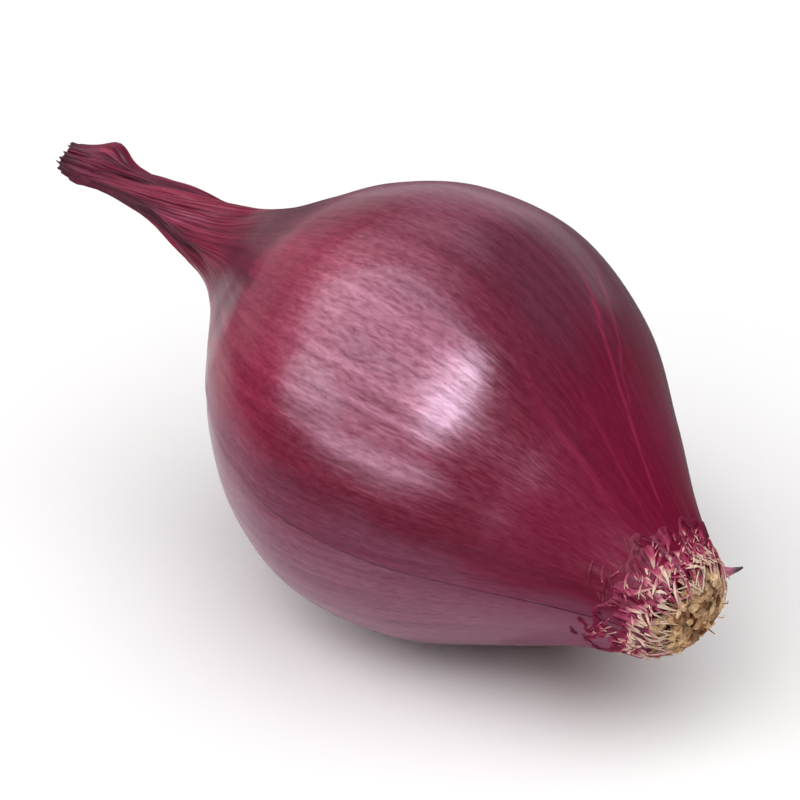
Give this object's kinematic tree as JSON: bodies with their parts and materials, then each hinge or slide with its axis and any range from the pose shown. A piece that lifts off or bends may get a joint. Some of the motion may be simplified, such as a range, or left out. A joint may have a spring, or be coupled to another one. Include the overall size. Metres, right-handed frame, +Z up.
{
  "type": "onion set",
  "caption": "Small red onion bulb lying on its side: round body in glossy dry skin, long pinched neck, torn skin round a corky root end.",
  "frame": {"origin": "on the small flat spot under the belly that the onion lies on, below its axis", "axes": "+Z up, +X towards the root end, -X towards the neck"},
  "size_m": [0.0439, 0.0217, 0.0216],
  "materials": {
    "skin": "dry papery wine-red skin with a satin gloss",
    "root_plate": "dry tan cork with brown gaps"
  },
  "bodies": {
    "root": {"bulb": "skin", "root_plate": "root_plate"}
  },
  "joints": []
}
